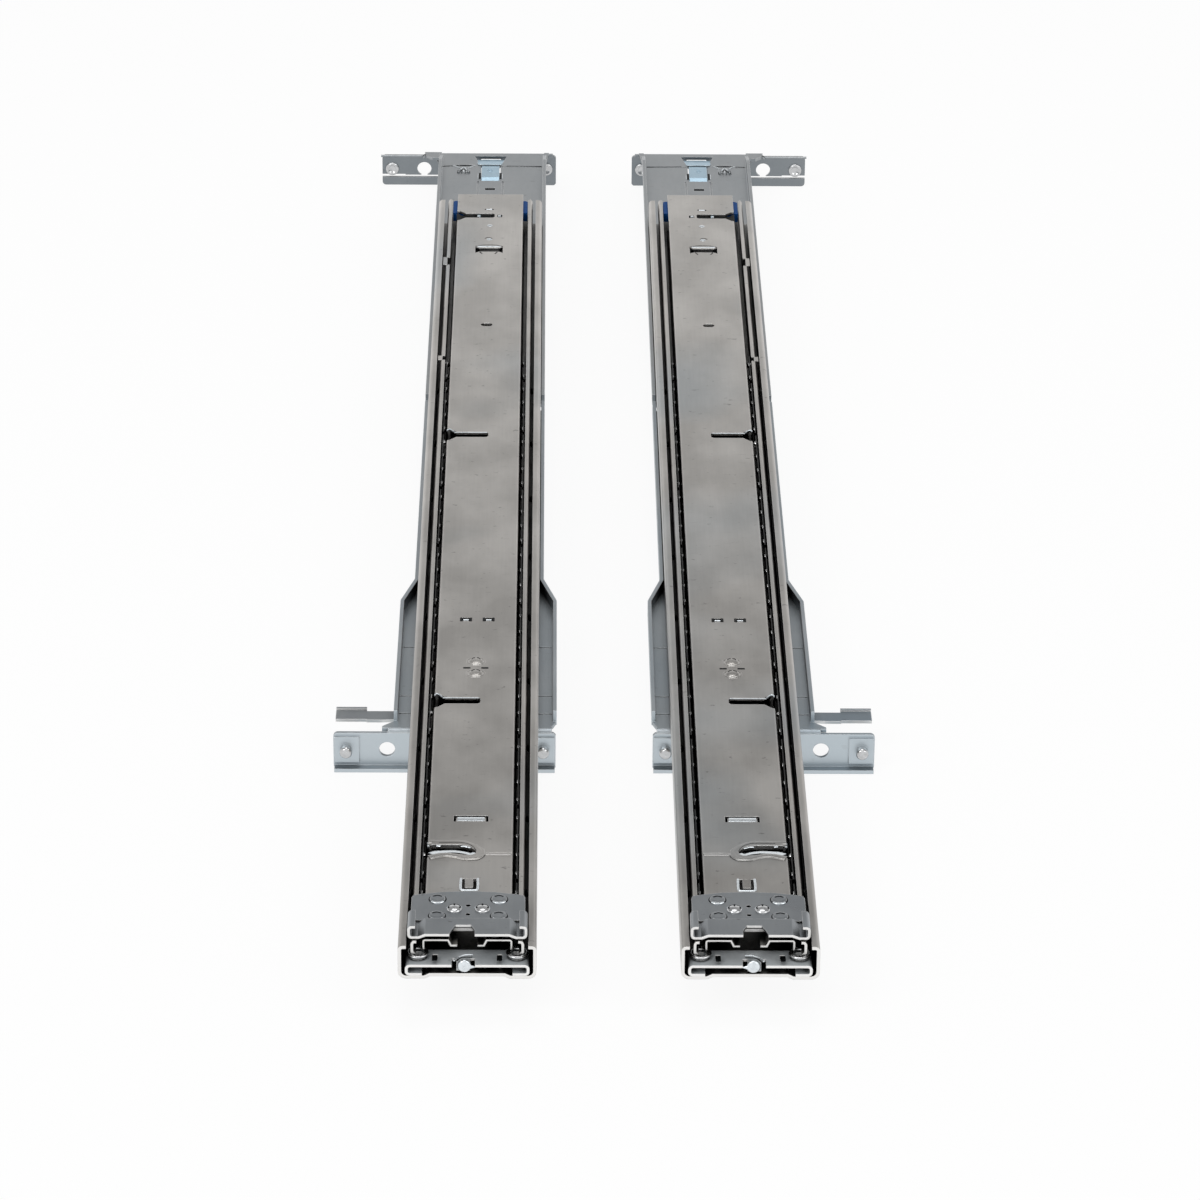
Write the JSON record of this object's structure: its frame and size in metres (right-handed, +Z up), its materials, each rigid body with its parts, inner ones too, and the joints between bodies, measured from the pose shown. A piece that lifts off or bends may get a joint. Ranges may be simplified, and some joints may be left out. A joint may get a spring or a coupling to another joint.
{
  "type": "sliding server rail pair",
  "caption": "Mirrored pair of telescoping drop-in server rails with rack flanges, locating pins, latches, ball slides and sockets for a cable arm",
  "frame": {"origin": "centre of the pair seen from above, on the plane on which the rails lie", "axes": "+X across the pair to the right rail, +Y to the front of the rack, +Z up away from the plane; the outer sides of the rails face -Z"},
  "size_m": [0.2096, 0.8188, 0.0353],
  "materials": {
    "slide_steel": "bright zinc plate",
    "bracket_steel": "blue-white zinc plate",
    "pin_steel": "bright turned steel",
    "spring_steel": "plated spring steel",
    "cage_steel": "thin zinc plate",
    "ball_steel": "polished",
    "blue_plastic": "moulded, satin"
  },
  "bodies": {
    "rack_side": {"left_front_bracket": "bracket_steel", "left_front_pins": "pin_steel", "left_outer_member": "slide_steel", "left_bracket_rivets": "pin_steel", "left_guide_studs": "pin_steel", "left_outer_end_socket": "slide_steel", "left_outer_socket_rivets": "pin_steel", "right_front_bracket": "bracket_steel", "right_front_pins": "pin_steel", "right_outer_member": "slide_steel", "right_bracket_rivets": "pin_steel", "right_guide_studs": "pin_steel", "right_outer_end_socket": "slide_steel", "right_outer_socket_rivets": "pin_steel"},
    "left_front_latch": {"left_front_latch": "spring_steel"},
    "left_rear_bracket": {"left_rear_bracket": "bracket_steel", "left_rear_pins": "pin_steel", "left_rear_lever_rivet": "pin_steel"},
    "left_rear_lever": {"left_rear_lever": "spring_steel"},
    "left_middle": {"left_middle_member": "slide_steel", "left_lock_lever_rivet": "pin_steel"},
    "left_lock_lever": {"left_lock_lever": "spring_steel"},
    "left_outer_cage": {"left_outer_ball_cage": "cage_steel", "left_outer_balls": "ball_steel"},
    "left_inner_cage": {"left_inner_ball_cage": "cage_steel", "left_inner_balls": "ball_steel"},
    "left_inner": {"left_inner_member": "slide_steel", "left_inner_end_plate": "slide_steel", "left_end_plate_rivets": "pin_steel", "left_end_stop_clips": "slide_steel", "left_pin_lock_rivet": "pin_steel", "left_release_guide_stud": "pin_steel"},
    "left_release_latch": {"left_release_latch": "blue_plastic"},
    "left_pin_lock": {"left_pin_lock_spring": "spring_steel"},
    "right_front_latch": {"right_front_latch": "spring_steel"},
    "right_rear_bracket": {"right_rear_bracket": "bracket_steel", "right_rear_pins": "pin_steel", "right_rear_lever_rivet": "pin_steel"},
    "right_rear_lever": {"right_rear_lever": "spring_steel"},
    "right_middle": {"right_middle_member": "slide_steel", "right_lock_lever_rivet": "pin_steel"},
    "right_lock_lever": {"right_lock_lever": "spring_steel"},
    "right_outer_cage": {"right_outer_ball_cage": "cage_steel", "right_outer_balls": "ball_steel"},
    "right_inner_cage": {"right_inner_ball_cage": "cage_steel", "right_inner_balls": "ball_steel"},
    "right_inner": {"right_inner_member": "slide_steel", "right_inner_end_plate": "slide_steel", "right_end_plate_rivets": "pin_steel", "right_end_stop_clips": "slide_steel", "right_pin_lock_rivet": "pin_steel", "right_release_guide_stud": "pin_steel"},
    "right_release_latch": {"right_release_latch": "blue_plastic"},
    "right_pin_lock": {"right_pin_lock_spring": "spring_steel"}
  },
  "joints": [
    {"name": "left_rear_bracket_slide", "type": "slide", "parent": "rack_side", "child": "left_rear_bracket", "axis": [0, -1, 0], "range_m": [0, 0.25]},
    {"name": "left_middle_slide", "type": "slide", "parent": "rack_side", "child": "left_middle", "axis": [0, 1, 0], "range_m": [0, 0.36]},
    {"name": "left_inner_slide", "type": "slide", "parent": "left_middle", "child": "left_inner", "axis": [0, 1, 0], "range_m": [0, 0.36]},
    {"name": "left_outer_cage_slide", "type": "slide", "parent": "rack_side", "child": "left_outer_cage", "axis": [0, 1, 0], "range_m": [0, 0.18]},
    {"name": "left_inner_cage_slide", "type": "slide", "parent": "left_middle", "child": "left_inner_cage", "axis": [0, 1, 0], "range_m": [0, 0.18]},
    {"name": "left_front_latch_hinge", "type": "hinge", "parent": "rack_side", "child": "left_front_latch", "pos_m": [-0.0509, 0.35545, 0.0145], "axis": [-1, 0, 0], "range_deg": [0, 3], "stiffness_Nm_per_rad": 0.5},
    {"name": "left_rear_lever_hinge", "type": "hinge", "parent": "left_rear_bracket", "child": "left_rear_lever", "pos_m": [-0.07, -0.19705, 0.0141], "axis": [0, 0, 1], "range_deg": [0, 6], "stiffness_Nm_per_rad": 0.1},
    {"name": "left_lock_lever_hinge", "type": "hinge", "parent": "left_middle", "child": "left_lock_lever", "pos_m": [-0.05, 0.19895, 0.0222], "axis": [0, 0, -1], "range_deg": [0, 8], "stiffness_Nm_per_rad": 0.05},
    {"name": "left_release_latch_slide", "type": "slide", "parent": "left_inner", "child": "left_release_latch", "axis": [0, 1, 0], "range_m": [0, 0.004], "stiffness_N_per_m": 200},
    {"name": "left_pin_lock_hinge", "type": "hinge", "parent": "left_inner", "child": "left_pin_lock", "pos_m": [-0.05, 0.27365, 0.0285], "axis": [-1, 0, 0], "range_deg": [0, 4], "stiffness_Nm_per_rad": 0.02},
    {"name": "right_rear_bracket_slide", "type": "slide", "parent": "rack_side", "child": "right_rear_bracket", "axis": [0, -1, 0], "range_m": [0, 0.25]},
    {"name": "right_middle_slide", "type": "slide", "parent": "rack_side", "child": "right_middle", "axis": [0, 1, 0], "range_m": [0, 0.36]},
    {"name": "right_inner_slide", "type": "slide", "parent": "right_middle", "child": "right_inner", "axis": [0, 1, 0], "range_m": [0, 0.36]},
    {"name": "right_outer_cage_slide", "type": "slide", "parent": "rack_side", "child": "right_outer_cage", "axis": [0, 1, 0], "range_m": [0, 0.18]},
    {"name": "right_inner_cage_slide", "type": "slide", "parent": "right_middle", "child": "right_inner_cage", "axis": [0, 1, 0], "range_m": [0, 0.18]},
    {"name": "right_front_latch_hinge", "type": "hinge", "parent": "rack_side", "child": "right_front_latch", "pos_m": [0.0509, 0.35545, 0.0145], "axis": [-1, 0, 0], "range_deg": [0, 3], "stiffness_Nm_per_rad": 0.5},
    {"name": "right_rear_lever_hinge", "type": "hinge", "parent": "right_rear_bracket", "child": "right_rear_lever", "pos_m": [0.07, -0.19705, 0.0141], "axis": [0, 0, -1], "range_deg": [0, 6], "stiffness_Nm_per_rad": 0.1},
    {"name": "right_lock_lever_hinge", "type": "hinge", "parent": "right_middle", "child": "right_lock_lever", "pos_m": [0.05, 0.19895, 0.0222], "axis": [0, 0, 1], "range_deg": [0, 8], "stiffness_Nm_per_rad": 0.05},
    {"name": "right_release_latch_slide", "type": "slide", "parent": "right_inner", "child": "right_release_latch", "axis": [0, 1, 0], "range_m": [0, 0.004], "stiffness_N_per_m": 200},
    {"name": "right_pin_lock_hinge", "type": "hinge", "parent": "right_inner", "child": "right_pin_lock", "pos_m": [0.05, 0.27365, 0.0285], "axis": [-1, 0, 0], "range_deg": [0, 4], "stiffness_Nm_per_rad": 0.02}
  ],
  "couplings": [
    {"joint": "left_outer_cage_slide", "follows": "left_middle_slide", "ratio": 0.5},
    {"joint": "left_inner_cage_slide", "follows": "left_inner_slide", "ratio": 0.5},
    {"joint": "right_outer_cage_slide", "follows": "right_middle_slide", "ratio": 0.5},
    {"joint": "right_inner_cage_slide", "follows": "right_inner_slide", "ratio": 0.5}
  ]
}
